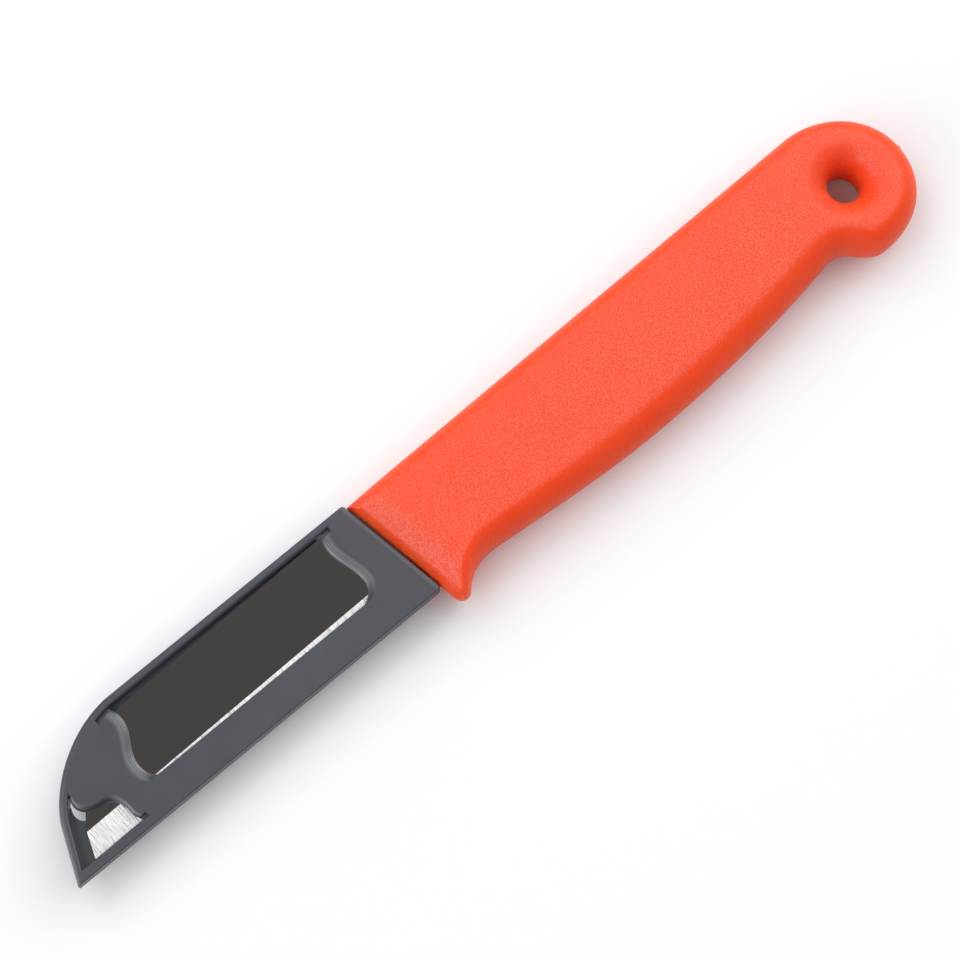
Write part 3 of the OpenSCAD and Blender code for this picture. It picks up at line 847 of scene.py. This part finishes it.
def guard_plastic():
    """Dark blue-grey moulding with a fine satin surface, and sheen painted by facing direction."""
    made, tree, shader = new_material("guard_plastic")
    where = place(tree)
    tone = noise(tree, where, GUARD_TONE_MM, 3)
    tree.links.new(ramp(tree, tone, *NOISE_SPAN, *GUARD_TONES), shader.inputs["Base Color"])
    fine = noise(tree, where, FINE_MM, 2)
    tree.links.new(ramp(tree, fine, *NOISE_SPAN, *GUARD_ROUGHNESS), shader.inputs["Roughness"])
    tree.links.new(bump(tree, fine, SATIN_DEPTH, 0.4), shader.inputs["Normal"])
    # Painted sheen and shade by facing direction: the windows' slopes, which face along the guard, get more
    # sheen, and the walls facing the cutting edge's side get less, as painted shade
    normal = split_axes(tree, add(tree, "ShaderNodeTexCoord").outputs["Normal"])
    along = add(tree, "ShaderNodeMath", operation="ABSOLUTE")
    tree.links.new(normal["X"], along.inputs[0])
    wall = ramp(tree, normal["Y"], *WALL_SPAN, *WALL_PAINTED_SHADE)
    slopes = ramp(tree, along.outputs[0], *SLOPE_SPAN, *SLOPE_PAINTED_SHEEN)
    tree.links.new(product(tree, wall, slopes), shader.inputs["Specular IOR Level"])
    return made


def blade_steel():
    """Polished faces above a grind line, and a bevel with grind marks square to the edge."""
    made, tree, shader = new_material("blade_steel")
    where = place(tree)
    ragged = noise(tree, where, RAGGED_MM, 2, (1, 0.05, 1))
    line = add(tree, "ShaderNodeMath", {1: RAGGED_DEPTH * MM}, operation="MULTIPLY_ADD")
    tree.links.new(ragged, line.inputs[0])
    tree.links.new(split_axes(tree, where)["Y"], line.inputs[2])
    grind_y = ORIGIN.y + (BEVEL_TOP + RAGGED_DEPTH / 2) * MM
    soft = GRIND_SOFT * MM
    ground = ramp(tree, line.outputs[0], grind_y - soft, grind_y + soft, 1.0, 0.0)
    marks = noise(tree, where, MARKS_MM, 2, (1, 0.03, 0.03))
    rough = add(tree, "ShaderNodeMix", data_type="FLOAT")
    rough.inputs["A"].default_value = FACE_ROUGHNESS
    tree.links.new(ground, rough.inputs["Factor"])
    tree.links.new(ramp(tree, marks, *MARKS_SPAN, *BEVEL_ROUGHNESS), rough.inputs["B"])
    tree.links.new(rough.outputs["Result"], shader.inputs["Roughness"])
    tree.links.new(bump(tree, product(tree, marks, ground), MARKS_DEPTH, 1.0), shader.inputs["Normal"])
    colour = add(tree, "ShaderNodeMix", data_type="RGBA")
    colour.inputs["A"].default_value = (*FACE_TONE, 1)
    tree.links.new(ground, colour.inputs["Factor"])
    tree.links.new(ramp(tree, marks, *MARKS_SPAN, *BEVEL_TONES), colour.inputs["B"])
    tree.links.new(colour.outputs["Result"], shader.inputs["Base Color"])
    shader.inputs["Metallic"].default_value = 1
    return made


def floor_white():
    """Plain white board."""
    made, tree, shader = new_material("floor_white")
    tone = noise(tree, place(tree), FLOOR_TONE_MM, 2)
    tree.links.new(ramp(tree, tone, 0, 1, *FLOOR_TONES), shader.inputs["Base Color"])
    shader.inputs["Roughness"].default_value = 0.9
    shader.inputs["Specular IOR Level"].default_value = 0.1
    return made


# Stage: floor, soft lamp, studio surroundings and camera
FLOOR_HALF = 3.0
CAMERA_TILT = 12
CAMERA_DISTANCE = 0.4
CAMERA_SENSOR = 36
CAMERA_LENS = 93.75
PANEL_SPREAD = (0.2, 0.36)
PANEL_CENTRE = (-0.03, 0.06)
PANEL_EDGE = (0.85, 1.25)
PANEL_LIGHT = 0.055
BRIGHT_SIDE = Vector((0.32, 1, 0)).normalized()
SIDE_LIGHT = (0.55, 1.45)
BANK_SPINE_SPAN = (0.25, 0.75)
BANK_SPINE_LIGHT = (1.57, 0.05)
BANK_BELLY_SPAN = (-0.7, -0.15)
BANK_BELLY_LIGHT = (0.1, 1.0)
BANK_HEIGHT_SPAN = (0.4, 0.85)
BANK_HEIGHT_LIGHT = (1.45, 1.0)
IMAGE_YAW = 40.755
IMAGE_RIGHT = Vector((math.cos(math.radians(IMAGE_YAW)), -math.sin(math.radians(IMAGE_YAW)), 0))
IMAGE_UP = Vector((-IMAGE_RIGHT.y, IMAGE_RIGHT.x, 0))
AIM = ORIGIN + Vector((17.67, -0.95, 0)) * MM


def make_floor(material):
    half = FLOOR_HALF
    corners = [(-half, -half, 0), (half, -half, 0), (half, half, 0), (-half, half, 0)]
    floor = solid("floor", corners, [[0, 1, 2, 3]])
    floor.data.materials.append(material)


def lamp(name, toward, tilt, distance, size, power):
    """Soft square lamp, seen from the object in that image direction, tilted from straight above."""
    light = bpy.data.lights.new(name, "AREA")
    light.size = size
    light.energy = power
    made = bpy.data.objects.new(name, light)
    side = (IMAGE_RIGHT * toward[0] + IMAGE_UP * toward[1]).normalized()
    lean = math.radians(tilt)
    back = side * math.sin(lean) + Vector((0, 0, math.cos(lean)))
    made.location = AIM + back * distance
    made.rotation_euler = back.to_track_quat("Z", "Y").to_euler()
    made.visible_glossy = False
    bpy.context.scene.collection.objects.link(made)


def make_world():
    """Long soft light bank along the knife, with a dark panel in it that the blade's faces mirror."""
    world = bpy.data.worlds.new("studio")
    bpy.context.scene.world = world
    world.use_nodes = True
    tree = world.node_tree
    toward = add(tree, "ShaderNodeTexCoord").outputs["Generated"]
    mapping = add(tree, "ShaderNodeMapping", {
        "Scale": (1 / PANEL_SPREAD[0], 1 / PANEL_SPREAD[1], 0),
        "Location": (-PANEL_CENTRE[0] / PANEL_SPREAD[0], -PANEL_CENTRE[1] / PANEL_SPREAD[1], 0),
    })
    off = add(tree, "ShaderNodeVectorMath", operation="LENGTH")
    tree.links.new(toward, mapping.inputs["Vector"])
    tree.links.new(mapping.outputs["Vector"], off.inputs[0])
    shade = ramp(tree, off.outputs["Value"], *PANEL_EDGE, PANEL_LIGHT, 1.0)
    bright = add(tree, "ShaderNodeVectorMath", {1: BRIGHT_SIDE}, operation="DOT_PRODUCT")
    tree.links.new(toward, bright.inputs[0])
    lean = ramp(tree, bright.outputs["Value"], -1, 1, *SIDE_LIGHT)
    axes = split_axes(tree, toward)
    bank = product(
        tree,
        ramp(tree, axes["Y"], *BANK_SPINE_SPAN, *BANK_SPINE_LIGHT),
        ramp(tree, axes["Y"], *BANK_BELLY_SPAN, *BANK_BELLY_LIGHT),
        ramp(tree, axes["Z"], *BANK_HEIGHT_SPAN, *BANK_HEIGHT_LIGHT),
    )
    tree.links.new(product(tree, shade, lean, bank), tree.nodes["Background"].inputs["Strength"])
    tree.nodes["Background"].inputs["Color"].default_value = (1, 1, 1, 1)


def make_camera():
    tilt = math.radians(CAMERA_TILT)
    camera = bpy.data.cameras.new("camera")
    camera.sensor_width = CAMERA_SENSOR
    camera.lens = CAMERA_LENS
    made = bpy.data.objects.new("camera", camera)
    back = Vector((0, 0, math.cos(tilt))) - IMAGE_UP * math.sin(tilt)
    axes = Matrix((IMAGE_RIGHT, back.cross(IMAGE_RIGHT), back)).transposed()
    made.matrix_world = Matrix.Translation(AIM + back * CAMERA_DISTANCE) @ axes.to_4x4()
    bpy.context.scene.collection.objects.link(made)
    bpy.context.scene.camera = made


make_handle(handle_plastic())
make_blade(blade_steel())
make_guard(guard_plastic())
make_floor(floor_white())
lamp("key", toward=(-0.8, 0.9), tilt=42, distance=1.2, size=0.9, power=4.5)
make_world()
make_camera()
bpy.context.scene.view_settings.view_transform = "Standard"
